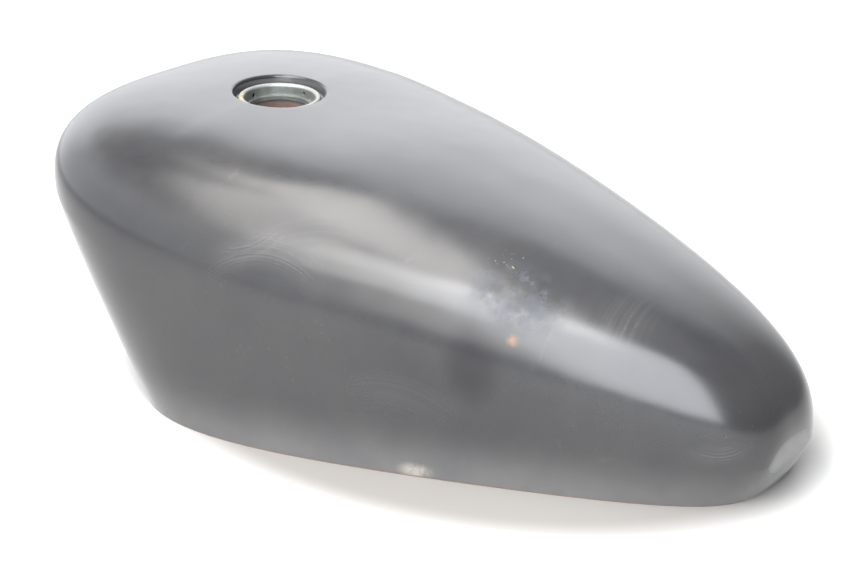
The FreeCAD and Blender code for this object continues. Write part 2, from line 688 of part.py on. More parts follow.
def tap_cover(place, points):
    """Ring that keeps the valve disc in its drum, with its two slotted screws."""
    thick = Vector(0, TAP_COVER, 0)
    face = Vector(0, TAP_FACE_Y, TAP_AXIS_Z)
    cover = tube(TAP_FACE_R, TAP_COVER_BORE_R, face, face.add(thick))
    screws = []
    for point in points:
        seat = point.add(thick)
        cover = cover.cut(cylinder(M3_R + GAP, point, seat.add(Vector(0, 1, 0))))
        shank = cylinder(M3_R, point.sub(Vector(0, COVER_SCREW_DEPTH, 0)), seat)
        head = cylinder(COVER_SCREW_HEAD_R, seat, seat.add(Vector(0, COVER_SCREW_HEAD, 0)))
        slot = block(seat.add(Vector(-3, 0.9, -0.35)), seat.add(Vector(3, 3, 0.35)))
        screws.append(placed(shank.fuse(head).cut(slot), place))
    export("tap_cover", placed(cover, place))
    export("tap_cover_screws", screws)


def strainer():
    """Slotted plastic sleeve over the standpipe, seated in the floor hole."""
    inside = STRAINER_R - STRAINER_WALL
    pipe_r = STANDPIPE_R + 0.3
    sleeve_form = turned([
        (pipe_r, STRAINER_TOP - 1), (pipe_r, STRAINER_TOP), (STRAINER_R, STRAINER_TOP), (STRAINER_R, -1.0),
        (STRAINER_SEAT_R, -1.0), (STRAINER_SEAT_R, -2.0), (inside, -2.0), (inside, STRAINER_TOP - 1)])
    width, height = STRAINER_SLOT
    core = cylinder(5, Vector(0, 0, 0), Vector(0, 0, 40))
    for row in range(STRAINER_ROWS):
        low = 3 + row * STRAINER_PITCH
        for turn in (0, 45, 90, 135):
            bar = block(Vector(-12, -width / 2, low), Vector(12, width / 2, low + height))
            bar.rotate(Vector(), Vector(0, 0, 1), turn)
            sleeve_form = sleeve_form.cut(bar.cut(core))
    return sleeve_form


def tap_lever(place):
    """Turning valve disc, shaft and handle, at OFF with the handle to the rear."""
    disc_low = TAP_FACE_Y - TAP_DISC_THICK - GAP
    disc = cylinder(TAP_DISC_R, Vector(0, disc_low, TAP_AXIS_Z), Vector(0, TAP_FACE_Y - GAP, TAP_AXIS_Z))
    shaft = cylinder(TAP_SHAFT_R, Vector(0, 6, TAP_AXIS_Z), Vector(0, disc_low, TAP_AXIS_Z))
    near, far = TAP_HANDLE_Y
    hub = cylinder(TAP_HUB_R, Vector(0, TAP_FACE_Y - GAP, TAP_AXIS_Z), Vector(0, far, TAP_AXIS_Z))
    tip_x = -TAP_HANDLE + TAP_HANDLE_R
    bar = block(Vector(tip_x, near, TAP_AXIS_Z - TAP_HANDLE_R), Vector(0, far, TAP_AXIS_Z + TAP_HANDLE_R))
    tip = cylinder(TAP_HANDLE_R, Vector(tip_x, near, TAP_AXIS_Z), Vector(tip_x, far, TAP_AXIS_Z))
    export("tap_lever", placed(disc.multiFuse([shaft, hub, bar, tip]).removeSplitter(), place))


def sender_fixed_pieces(place):
    """Mounting ring, gasket, plate, screws, terminal block and inner frame of the level sender."""
    points = around(SENDER_SCREWS, SENDER_SCREW_PCR, 0, 45)
    reach = Vector(0, 0, 20)
    holes = [cylinder(M5_R + GAP, point.sub(reach), point.add(reach)) for point in points]
    plate_low = -SENDER_GASKET - SENDER_PLATE
    ring_high = SHEET + SENDER_RING
    layers = {
        "sender_ring": tube(SENDER_R, SENDER_HOLE_R, Vector(0, 0, SHEET), Vector(0, 0, ring_high)),
        "sender_gasket": tube(SENDER_R, SENDER_HOLE_R, Vector(0, 0, -SENDER_GASKET), Vector(0, 0, 0)),
        "sender_plate": cylinder(SENDER_R, Vector(0, 0, plate_low), Vector(0, 0, -SENDER_GASKET)),
    }
    for name, layer in layers.items():
        for hole in holes:
            layer = layer.cut(hole)
        export(name, placed(layer, place))

    screw = hex_screw(M5_R, 4.5, 3.0, ring_high - plate_low)
    export("sender_screws", [placed(screw, raised(place, point, plate_low)) for point in points])
    export("sender_terminal", placed(terminal_block(plate_low), place))

    half = FRAME_WIDTH / 2
    web_y = PIVOT_Y - 5
    foot_length, foot_thick = FRAME_FOOT
    card_width, card_height, card_thick = CARD
    card_top = PIVOT_Z - 6
    web_far_y = web_y + FRAME_SHEET
    web = block(Vector(-half, web_y, -SENDER_GASKET), Vector(half, web_far_y, PIVOT_Z + 6))
    foot = block(Vector(-half, web_far_y - foot_length, -SENDER_GASKET),
                 Vector(half, web_far_y, -SENDER_GASKET + foot_thick))
    card = block(Vector(-card_width / 2, web_y - card_thick, card_top - card_height),
                 Vector(card_width / 2, web_y, card_top))
    hole = cylinder(PIVOT_R + GAP, Vector(0, PIVOT_Y - 10, PIVOT_Z), Vector(0, PIVOT_Y, PIVOT_Z))
    export("sender_frame", placed(web.multiFuse([foot, card]).removeSplitter().cut(hole), place))


def terminal_block(top):
    """Open plug housing with two blade pins, hanging from the sender plate."""
    length, width, height = TERMINAL
    low = top - height
    housing = block(Vector(-length / 2, -width / 2, low), Vector(length / 2, width / 2, top))
    corners = [edge for edge in housing.Edges if edge.BoundBox.ZLength > 1]
    housing = housing.makeFillet(TERMINAL_WALL, corners)
    room_x = length / 2 - TERMINAL_WALL
    room_y = width / 2 - TERMINAL_WALL
    floor_z = top - TERMINAL_FLOOR
    housing = housing.cut(block(Vector(-room_x, -room_y, low), Vector(room_x, room_y, floor_z)))
    pin_width, pin_thick = PIN
    pins = [block(Vector(x - pin_width / 2, -pin_thick / 2, low + 1.5),
                  Vector(x + pin_width / 2, pin_thick / 2, floor_z)) for x in (-PIN_X, PIN_X)]
    return housing.multiFuse(pins)


def float_pieces(place):
    """Wire arm and foam float, at the empty end of their swing."""
    pivot = place.multVec(Vector(0, PIVOT_Y, PIVOT_Z))
    float_x = pivot.x - math.sqrt(ARM_LENGTH ** 2 - ARM_DROP ** 2)
    centre = Vector(float_x, pivot.y, pivot.z - ARM_DROP)
    inboard = Vector(0, 1, 0)
    pin = cylinder(PIVOT_R, pivot.sub(inboard * 7), pivot)
    hub = cylinder(PIVOT_HUB_R, pivot.sub(inboard * 2.6), pivot.add(inboard * 1.5))
    wire = cylinder(ARM_WIRE_R, pivot, centre)
    elbow = Part.makeSphere(ARM_WIRE_R, centre)
    near_end = centre.add(inboard * (ARM_WIRE_R + 0.8))
    far_end = near_end.add(inboard * FLOAT_LENGTH)
    cross = cylinder(ARM_WIRE_R, centre, far_end.add(inboard * 2))
    export("float_arm", pin.multiFuse([hub, wire, elbow, cross]).removeSplitter())

    drum = cylinder(FLOAT_R, near_end, far_end)
    rims = [edge for edge in drum.Edges if isinstance(edge.Curve, Part.Circle)]
    drum = drum.makeFillet(FLOAT_EDGE, rims)
    export("float", drum.cut(cylinder(ARM_WIRE_R + GAP, centre, far_end.add(inboard))))


def build():
    os.makedirs("parts", exist_ok=True)
    shells()
    tail_plate()
    tunnel_pan()
    filler()
    tubes()
    baffles()
    front_mounts()
    rear_mount()
    tap_place = on_floor(TAP_AT)
    tap_fixed_pieces(tap_place)
    tap_lever(tap_place)
    sender_place = on_floor(SENDER_AT)
    sender_fixed_pieces(sender_place)
    float_pieces(sender_place)


build()
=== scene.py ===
import math

import bmesh
import bpy
import numpy as np
from mathutils import Matrix, Vector
from mathutils.bvhtree import BVHTree


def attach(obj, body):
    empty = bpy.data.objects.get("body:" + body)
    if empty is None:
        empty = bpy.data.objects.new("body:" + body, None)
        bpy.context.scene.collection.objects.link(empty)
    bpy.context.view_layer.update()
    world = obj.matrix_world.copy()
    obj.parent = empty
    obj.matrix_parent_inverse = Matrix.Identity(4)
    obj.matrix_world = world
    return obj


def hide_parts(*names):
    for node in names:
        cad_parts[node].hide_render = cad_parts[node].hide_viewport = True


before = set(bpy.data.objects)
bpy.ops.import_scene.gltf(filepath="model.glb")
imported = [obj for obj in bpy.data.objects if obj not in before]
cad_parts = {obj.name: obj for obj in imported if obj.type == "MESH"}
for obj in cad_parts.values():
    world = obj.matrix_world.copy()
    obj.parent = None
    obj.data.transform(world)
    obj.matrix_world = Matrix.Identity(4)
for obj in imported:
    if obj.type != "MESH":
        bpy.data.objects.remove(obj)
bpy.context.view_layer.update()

MM = 0.001

# ---- skin, in millimetres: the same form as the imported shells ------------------
LENGTH = 560.0
WIDTH = 323.0
SHEET = 1.0
CROWN_X = 145.0
CROWN_Z = 189.0
CREST_NOSE_Z = 210.0
CREST_TAIL_Z = 115.0
CREST_FALL = 1.55
CROWN_TILT = 0.07
CROWN_TILT_SPAN = 90.0
BELLY_Z = 74.5
BELLY_SLOPE = 0.223
BELLY_CURVE = 0.054
PLAN_NOSE_POWER = 0.704
PLAN_TAIL_POWER = 0.636
PLAN_TAPER = 0.50
PLAN_TAPER_CURVE = 0.113
SHOULDER = 2.92
SHOULDER_TAPER = -0.25
RIM_NOSE_X = 193.5
RIM_TAIL_X = -263.0
RIM_WIDTH = 324.0
RIM_TAIL_TUCK = 0.055
SIDE_TUCK = 1.147
FACET_REACH = 265.2
FACET_LEAN = math.radians(12.0)
FACET_SOFTNESS = 1.1
TUNNEL_HALF = 40.0
TUNNEL_RADIUS = 25.0
TUNNEL_MOUTH = (262.0, 112.0)
TUNNEL_REAR = (-215.0, 42.0)
TUNNEL_FALL = (TUNNEL_MOUTH[1] - TUNNEL_REAR[1]) / (TUNNEL_MOUTH[0] - TUNNEL_REAR[0])
CUTTER_ENDS = (330.0, -150.0)
CUTTER_DEPTH = 260.0
SKIN_CREASE = 50

# ---- filler, in its own tilted frame -------------------------------------------
CUP_R = 33.0
EDGE_ROLL = 2.0
CUP_WALL_R = 32.3
CUP_FILLET = 2.2
CUP_FLOOR = -8.0
NECK_OUTER_R = 27.0

# ---- mesh fineness -------------------------------------------------------------
COLUMNS = 220
CROWN_ROWS = 96
SIDE_ROWS = 40
ROLL_ROWS = 6
HEM_ROWS = 5
TURN_STEPS = 144
TURNED_CREASE = 35

# ---- weld bead round the tunnel's mouth ----------------------------------------
WELD_R = 1.7
WELD_STEP = 2.2
WELD_RIPPLE = 0.18
WELD_SIDES = 10
WELD_SEED = 4

# ---- camera and light ----------------------------------------------------------
CAMERA_AZIMUTH = math.radians(40.382)
CAMERA_ELEVATION = math.radians(21.907)
CAMERA_ROLL = math.radians(-1.72)
CAMERA_DISTANCE = 1.3852
CAMERA_TARGET = Vector((0.0102, 0.0, 0.0702))
CAMERA_LENS = 83.72
BACK = Vector((-math.sin(CAMERA_AZIMUTH), math.cos(CAMERA_AZIMUTH), 0))
LEFT = Vector((math.cos(CAMERA_AZIMUTH), math.sin(CAMERA_AZIMUTH), 0))

# Windows: degrees to the camera's left, degrees up, width, height (metres), power (watts), colour.
WINDOW_DISTANCE = 2.2
WINDOWS = (
    ("window", 8, 33, 1.65, 2.35, 132, (0.92, 0.955, 1.0)),
    ("window_side", 41, 47, 0.62, 1.2, 20, (1.0, 0.98, 0.94)),
    ("window_low", 36, 19, 0.5, 0.75, 4.5, (1.0, 0.96, 0.9)),
)
# Ceiling strips, in units of the ceiling's height above the tank: how far towards the camera and
# to its left, slope of the long side, length, width; then the radiance.
CEILING_RISE = 1.6
STRIPS = (
    ("strip", 0.15, 0.215, 0.0, 1.25, 0.27, 9.5),
    ("strip_left", 0.20, 0.56, 0.55, 0.95, 0.34, 6.0),
)
STRIP_COLOUR = (1.0, 0.97, 0.93)
ROOM_LIGHT = 0.55
BACKDROP_LIGHT = 3.2
LEFT_LIGHT = 2.0
CEILING_LIGHT = 0.9
ROOM_COLOUR = (0.955, 0.972, 1.0)
CEILING_GAP = BACK * -0.533 + LEFT * 0.308 + Vector((0, 0, 0.788))
FLOOR_HALF = 30

# ---- marks on the paint, in millimetres ----------------------------------------
# Wipe marks: centre of the sweep, its radius and half width, centre and radii of the patch
# where it shows, scale of its strands, strength.
WIPES = (
    ((28, 150, 75), 62, 16, (28, 141, 123), (52, 60, 34), 900.0, 0.042),
    ((60, 150, 190), 60, 10, (40, 143, 135), (34, 40, 24), 900.0, 0.030),
    ((-190, 20, 60), 62, 10, (-190, 49, 112), (40, 30, 20), 900.0, 0.030),
    ((-262, 60, 75), 36, 9, (-257, 49, 36), (30, 26, 15), 900.0, 0.036),
    ((10, 90, 40), 108, 12, (18, 110, 150), (46, 40, 26), 500.0, 0.020),
    ((-60, 130, -10), 66, 18, (-70, 118, 60), (60, 30, 26), 600.0, 0.018),
)
SMUDGE_AT = (-128, 78, 122)
SPECKS_AT = (-113, 65, 136)
RUB_AT = (-112, 107, 80)
RUST_AT = (-134, 93, 99)
SCUFF_AT = (-76, 121, 4)
CRUST_AT = (165, 21, 185)

FILLER_FRAME = (Matrix.Translation(Vector((CROWN_X, 0, CROWN_Z)) * MM)
                @ Matrix.Rotation(-math.atan(CROWN_TILT), 4, "Y"))
FILLER_AXIS = FILLER_FRAME.to_3x3() @ Vector((0, 0, 1))
FACET_NORMAL = Vector((-math.cos(FACET_LEAN), 0, -math.sin(FACET_LEAN)))


# ---- skin form -----------------------------------------------------------------
def plan_shape(angle):
    c = np.cos(angle)
    s = np.sin(angle)
    power = PLAN_NOSE_POWER * (1 + c) / 2 + PLAN_TAIL_POWER * (1 - c) / 2
    return np.abs(s) ** power * (1 + PLAN_TAPER * c + PLAN_TAPER_CURVE * c * c)


PLAN_PEAK = plan_shape(np.radians(np.arange(720) / 4)).max()


def crest_height(x):
    ahead = np.clip(x - CROWN_X, 0, None) / (LENGTH / 2 - CROWN_X)
    behind = np.clip(CROWN_X - x, 0, None) / (LENGTH / 2 + CROWN_X)
    height = CROWN_Z + (CREST_NOSE_Z - CROWN_Z) * ahead ** 2
    height = height - (CROWN_Z - CREST_TAIL_Z) * behind ** CREST_FALL
    run = x - CROWN_X
    return height + CROWN_TILT * run * np.exp(-(run / CROWN_TILT_SPAN) ** 2)


def belly_height(x):
    return BELLY_Z + BELLY_SLOPE * x + BELLY_CURVE * x * x / (LENGTH / 2)


def belly_line(angle):
    c = np.cos(angle)
    return LENGTH / 2 * c, WIDTH / 2 * plan_shape(angle) / PLAN_PEAK


def crown_points(angle, reach):
    """Skin above the belly line; reach runs from 0 at the crown to 1 at the belly line."""
    c = np.cos(angle)
    x_belly, y_belly = belly_line(angle)
    power = 2 / (SHOULDER + SHOULDER_TAPER * c)
    rise = np.clip(reach, 0, 1) ** (1 / power)
    lift = np.sqrt(np.clip(1 - rise * rise, 0, None)) ** power
    x = CROWN_X + (x_belly - CROWN_X) * reach
    z = belly_height(x) + (crest_height(x) - belly_height(x)) * lift
    return np.stack([x, y_belly * reach, z], -1)


def side_points(angle, drop):
    """Skin below the belly line; drop runs from 0 at the belly line to 1 at the rim."""
    c = np.cos(angle)
    x_belly, y_belly = belly_line(angle)
    plan = plan_shape(angle) / PLAN_PEAK
    x_rim = (RIM_NOSE_X + RIM_TAIL_X) / 2 + (RIM_NOSE_X - RIM_TAIL_X) / 2 * c
    y_rim = RIM_WIDTH / 2 * plan * (1 - RIM_TAIL_TUCK * (1 - c) / 2)
    tuck = drop ** SIDE_TUCK
    x = x_belly + (x_rim - x_belly) * tuck
    y = y_belly + (y_rim - y_belly) * tuck
    return np.stack([x, y, belly_height(x_belly) * (1 - drop)], -1)


def unit(vectors):
    return vectors / np.linalg.norm(vectors, axis=-1, keepdims=True)


def flatten_facet(rows):
    """Presses the tail back to the facet's plane, with a softened edge."""
    normal = np.array(FACET_NORMAL)
    beyond = rows @ normal
    flat = -FACET_SOFTNESS * np.logaddexp(-beyond / FACET_SOFTNESS, -FACET_REACH / FACET_SOFTNESS)
    return rows + (flat - beyond)[..., None] * normal


def skin_rows():
    """Rows of points and outward normals of the left skin, from the filler's edge to the rim."""
    turns = np.linspace(0, 1, COLUMNS + 1)
    angle = math.pi / 2 * (1 - np.cos(math.pi * turns))
    x_belly, y_belly = belly_line(angle)
    first_reach = (CUP_R + EDGE_ROLL) / np.hypot(x_belly - CROWN_X, y_belly)
    steps = np.sin(np.linspace(0, math.pi / 2, CROWN_ROWS))[:, None]
    reach = first_reach + (1 - first_reach) * steps
    crown = crown_points(angle[None, :] + 0 * reach, reach)
    last_drop = 1 - SHEET / 2 / belly_height(x_belly)
    drops = np.linspace(0, 1, SIDE_ROWS + 1)[1:, None] * last_drop
    side = side_points(angle[None, :] + 0 * drops, drops)
    rows = np.concatenate([crown, side])
    rows[:, [0, -1], 1] = 0
    rows = flatten_facet(rows)

    across = np.gradient(rows, axis=1)
    down = np.gradient(rows, axis=0)
    normals = unit(np.cross(down, across))
    normals[:, [0, -1], 1] = 0
    normals = unit(normals)
    outward = ((rows - np.array([0, 0, BELLY_Z])) * normals).sum(-1).mean()
    return rows, normals * np.sign(outward)


def rolled_edge(points, normals):
    """Quarter round from the skin down into the filler recess."""
    axis = np.array(FILLER_AXIS)
    inward = np.array([CROWN_X, 0, CROWN_Z]) - points
    inward = unit(inward - (inward @ axis)[:, None] * axis)
    inward = unit(inward - (inward * normals).sum(-1)[:, None] * normals)
    centre = points - EDGE_ROLL * normals
    rows = []
    directions = []
    for turn in np.linspace(math.pi / 2, 0, ROLL_ROWS, endpoint=False):
        direction = math.cos(turn) * normals + math.sin(turn) * inward
        rows.append(centre + EDGE_ROLL * direction)
        directions.append(direction)
    return np.array(rows), np.array(directions)


def rim_hem(points, normals):
    """Half round that closes the sheet's lower edge."""
    level = normals.copy()
    level[:, 2] = 0
    level = unit(level)
    down = np.array([0.0, 0.0, -1.0])
    centre = points - SHEET / 2 * level
    turns = np.linspace(0, math.pi, HEM_ROWS + 2)[1:-1]
    return np.array([centre + SHEET / 2 * (math.cos(t) * level + math.sin(t) * down) for t in turns])


def skin_half():
    """Closed 1 mm sheet of the left side as (points, faces), in millimetres."""
    rows, normals = skin_rows()
    roll, roll_normals = rolled_edge(rows[0], normals[0])
    hem = rim_hem(rows[-1], normals[-1])
    outer = np.concatenate([roll, rows])
    inner = outer - SHEET * np.concatenate([roll_normals, normals])
    level = normals[-1].copy()
    level[:, 2] = 0
    inner[-1] = rows[-1] - SHEET * unit(level)
    ring = np.concatenate([outer, hem, inner[::-1]])
    ring[:, [0, -1], 1] = 0
    count, width = ring.shape[:2]
    index = np.arange(count * width).reshape(count, width)
    following = np.roll(index, -1, axis=0)
    quads = np.stack([index[:, :-1], index[:, 1:], following[:, 1:], following[:, :-1]], -1)
    faces = quads.reshape(-1, 4).tolist()
    deep = len(outer)
    for column, flip in ((0, False), (width - 1, True)):
        for row in range(deep - 1):
            cap = [index[row, column], index[row + 1, column],
                   index[count - 2 - row, column], index[count - 1 - row, column]]
            faces.append(cap[::-1] if flip else cap)
        cap = index[deep - 1:deep + HEM_ROWS + 1, column].tolist()
        faces.append(cap[::-1] if flip else cap)
    return ring.reshape(-1, 3), [[int(i) for i in face] for face in faces]


# ---- mesh helpers --------------------------------------------------------------
def set_shading(mesh, smooth, sharp=None):
    """Smooth or flat faces; sharp is the angle in degrees above which an edge stays a crease."""
    mesh.polygons.foreach_set("use_smooth", [smooth] * len(mesh.polygons))
    if sharp is not None:
        mesh.set_sharp_from_angle(angle=math.radians(sharp))


def make_piece(name, points, faces, material, body="tank", smooth=True, sharp=None):
    mesh = bpy.data.meshes.new(name)
    mesh.from_pydata([tuple(point) for point in points], [], faces)
    mesh.update()
    work = bmesh.new()
    work.from_mesh(mesh)
    bmesh.ops.recalc_face_normals(work, faces=work.faces)
    work.to_mesh(mesh)
    work.free()
    set_shading(mesh, smooth, sharp)
    mesh.materials.append(material)
    piece = bpy.data.objects.new(name, mesh)
    bpy.context.scene.collection.objects.link(piece)
    if body:
        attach(piece, body)
    return piece


def revolved(name, outline, place, material):
    """A closed (radius, height) outline in millimetres, turned about the local Z axis."""
    count = len(outline)
    points = []
    for step in range(TURN_STEPS):
        turn = 2 * math.pi * step / TURN_STEPS
        for radius, height in outline:
            at = Vector((radius * math.cos(turn), radius * math.sin(turn), height)) * MM
            points.append(place @ at)
    faces = []
    for step in range(TURN_STEPS):
        here = step * count
        there = (step + 1) % TURN_STEPS * count
        for i in range(count):
            j = (i + 1) % count
            faces.append([here + i, here + j, there + j, there + i])
    return make_piece(name, points, faces, material, sharp=TURNED_CREASE)


def weld_bead(name, path, material):
    """A tube along a path whose size ripples as the weld was laid, tapered at both ends."""
    rng = np.random.default_rng(WELD_SEED)
    last = len(path) - 1
    points = []
    for i, at in enumerate(path):
        along = (path[min(i + 1, last)] - path[max(i - 1, 0)]).normalized()
        side = along.cross(Vector((0, 0, 1)))
        if side.length <= 0.1:
            side = along.cross(Vector((0, 1, 0)))
        side = side.normalized()
        other = along.cross(side)
        ripple = WELD_RIPPLE * math.sin(i * 1.9) + WELD_RIPPLE * rng.uniform(-0.6, 0.6)
        size = WELD_R * MM * (1 + ripple) * min(1.0, 0.35 + 0.3 * min(i, last - i))
        for k in range(WELD_SIDES):
            turn = 2 * math.pi * k / WELD_SIDES
            points.append(at + size * (math.cos(turn) * side + math.sin(turn) * other))
    faces = [list(range(WELD_SIDES)), list(range(last * WELD_SIDES, (last + 1) * WELD_SIDES))]
    for i in range(last):
        here = i * WELD_SIDES
        there = (i + 1) * WELD_SIDES
        for k in range(WELD_SIDES):
            n = (k + 1) % WELD_SIDES
            faces.append([here + k, here + n, there + n, there + k])
    return make_piece(name, points, faces, material)


# ---- materials -----------------------------------------------------------------
class Nodes:
    """Short names for wiring the nodes of a material or of the world. Lengths are in metres."""

    def __init__(self, tree, coordinates):
        self.tree = tree
        self.place = self.add("ShaderNodeTexCoord").outputs[coordinates]

    def add(self, kind, **settings):
        node = self.tree.nodes.new(kind)
        for key, value in settings.items():
            setattr(node, key, value)
        return node

    def link(self, source, socket):
        if hasattr(source, "links"):
            self.tree.links.new(source, socket)
        else:
            socket.default_value = source

    def maths(self, operation, *values, clamp=False):
        node = self.add("ShaderNodeMath", operation=operation, use_clamp=clamp)
        for value, socket in zip(values, node.inputs):
            self.link(value, socket)
        return node.outputs[0]

    def vector(self, operation, a, b, out="Vector"):
        node = self.add("ShaderNodeVectorMath", operation=operation)
        self.link(a, node.inputs[0])
        self.link(b, node.inputs[1])
        return node.outputs[out]

    def ramp(self, value, low, high, to_low=0.0, to_high=1.0):
        """Smooth step from to_low at low to to_high at high."""
        node = self.add("ShaderNodeMapRange", interpolation_type="SMOOTHSTEP")
        for item, socket in zip((value, low, high, to_low, to_high), node.inputs):
            self.link(item, socket)
        return node.outputs[0]

    def times(self, *values):
        total = values[0]
        for value in values[1:]:
            total = self.maths("MULTIPLY", total, value)
        return total

    def plus(self, *values):
        total = values[0]
        for value in values[1:]:
            total = self.maths("ADD", total, value)
        return total

    def along(self, direction):
        """How far the point lies along a direction."""
        return self.vector("DOT_PRODUCT", self.place, tuple(direction), "Value")

    def camera_ray(self):
        return self.add("ShaderNodeLightPath").outputs["Is Camera Ray"]


class Recipe(Nodes):
    """Builds one procedural material, node by node."""

    def __init__(self, name):
        self.material = bpy.data.materials.new(name)
        self.material.use_nodes = True
        super().__init__(self.material.node_tree, "Object")
        self.shader = self.tree.nodes["Principled BSDF"]
        geometry = self.add("ShaderNodeNewGeometry")
        split = self.add("ShaderNodeSeparateXYZ")
        self.link(geometry.outputs["Normal"], split.inputs[0])
        self.upward = split.outputs["Z"]

    def noise(self, scale, detail=3.0, rough=0.55, stretch=(1, 1, 1), shift=(0, 0, 0), twist=0.0):
        mapping = self.add("ShaderNodeMapping")
        self.link(self.place, mapping.inputs["Vector"])
        mapping.inputs["Scale"].default_value = stretch
        mapping.inputs["Location"].default_value = shift
        node = self.add("ShaderNodeTexNoise")
        self.link(mapping.outputs[0], node.inputs["Vector"])
        node.inputs["Scale"].default_value = scale
        node.inputs["Detail"].default_value = detail
        node.inputs["Roughness"].default_value = rough
        node.inputs["Distortion"].default_value = twist
        return node.outputs[0]

    def strands(self, value, scale):
        node = self.add("ShaderNodeTexNoise", noise_dimensions="1D")
        self.link(value, node.inputs["W"])
        node.inputs["Scale"].default_value = scale
        node.inputs["Detail"].default_value = 3.0
        return node.outputs[0]

    def dots(self, scale, size):
        node = self.add("ShaderNodeTexVoronoi")
        self.link(self.place, node.inputs["Vector"])
        node.inputs["Scale"].default_value = scale
        return self.ramp(node.outputs["Distance"], size, size * 0.55)

    def blob(self, centre, radii, soft=0.5):
        """1 inside an ellipsoid that fades out between soft and 1 of its radii. Millimetres."""
        offset = self.vector("SUBTRACT", self.place, tuple(c * MM for c in centre))
        scaled = self.vector("DIVIDE", offset, tuple(r * MM for r in radii))
        length = self.vector("LENGTH", scaled, (0, 0, 0), "Value")
        return self.ramp(length, 1.0, soft)

    def wipe(self, centre, radius, spread, region, reach, strand_scale):
        """Curved streaks about a centre, seen only near region. Millimetres."""
        offset = self.vector("SUBTRACT", self.place, tuple(c * MM for c in centre))
        distance = self.vector("LENGTH", offset, (0, 0, 0), "Value")
        away = self.maths("ABSOLUTE", self.maths("SUBTRACT", distance, radius * MM))
        band = self.ramp(away, spread * MM, spread * 0.3 * MM)
        strands = self.ramp(self.strands(distance, strand_scale), 0.35, 0.7)
        return self.times(band, self.ramp(strands, 0, 1, 0.25, 1), self.blob(region, reach, 0.3))

    def blend(self, amount, first, second):
        node = self.add("ShaderNodeMix", data_type="RGBA")
        self.link(amount, node.inputs[0])
        for value, socket in ((first, node.inputs[6]), (second, node.inputs[7])):
            self.link(value if hasattr(value, "links") else (*value, 1.0), socket)
        return node.outputs[2]

    def relief(self, *layers, edge=0.0):
        """Bump from (height, depth in metres) layers, over rounded edges if edge is given."""
        normal = None
        if edge:
            node = self.add("ShaderNodeBevel", samples=4)
            node.inputs["Radius"].default_value = edge
            normal = node.outputs[0]
        for height, depth in layers:
            node = self.add("ShaderNodeBump")
            node.inputs["Distance"].default_value = depth
            self.link(height, node.inputs["Height"])
            if normal is not None:
                self.link(normal, node.inputs["Normal"])
            normal = node.outputs[0]
        self.link(normal, self.shader.inputs["Normal"])

    def finish(self, colour, roughness, metallic=0.0, specular=None):
        self.link(colour, self.shader.inputs["Base Color"])
        self.link(roughness, self.shader.inputs["Roughness"])
        self.link(metallic, self.shader.inputs["Metallic"])
        if specular is not None:
            self.link(specular, self.shader.inputs["Specular IOR Level"])
        return self.material


def filler_height(r):
    """Height above the middle of the filler's mouth, along the filler's own axis."""
    mouth = FILLER_AXIS.dot(Vector((CROWN_X, 0, CROWN_Z)) * MM)
    return r.maths("SUBTRACT", r.along(FILLER_AXIS), mouth)


def paint_dust(r, cloud, fine):
    """Share of dust: a little everywhere, more on top and in the filler's recess. Lighter towards the rim as
    well.
    """
    top = r.ramp(r.upward, 0.2, 1.0)
    # Lighter towards the rim: the lowest 50 mm take more of the pale tone.
    low = r.ramp(r.along((0, 0, 1)), 0.050, 0.0)
    sunk = r.ramp(filler_height(r), -0.0012, -0.0030)
    recess = r.times(sunk, r.blob((CROWN_X, 0, CROWN_Z), (45, 45, 30), 0.85))
    share = r.plus(0.018, r.times(top, 0.030), r.times(low, low, 0.12), r.times(recess, 0.13))
    return r.times(share, r.plus(0.55, r.times(cloud, 0.6), r.times(fine, 0.3)))


def hairline_scratches(r, fine):
    across = r.ramp(r.noise(55, 2, 0.5, (1.0, 0.04, 0.3), (1, 4, 2), 0.4), 0.70, 0.76)
    lengthwise = r.ramp(r.noise(48, 2, 0.5, (0.05, 1.0, 0.6), (7, 4, 9), 0.4), 0.71, 0.77)
    return r.times(r.plus(across, lengthwise), r.ramp(fine, 0.45, 0.62))


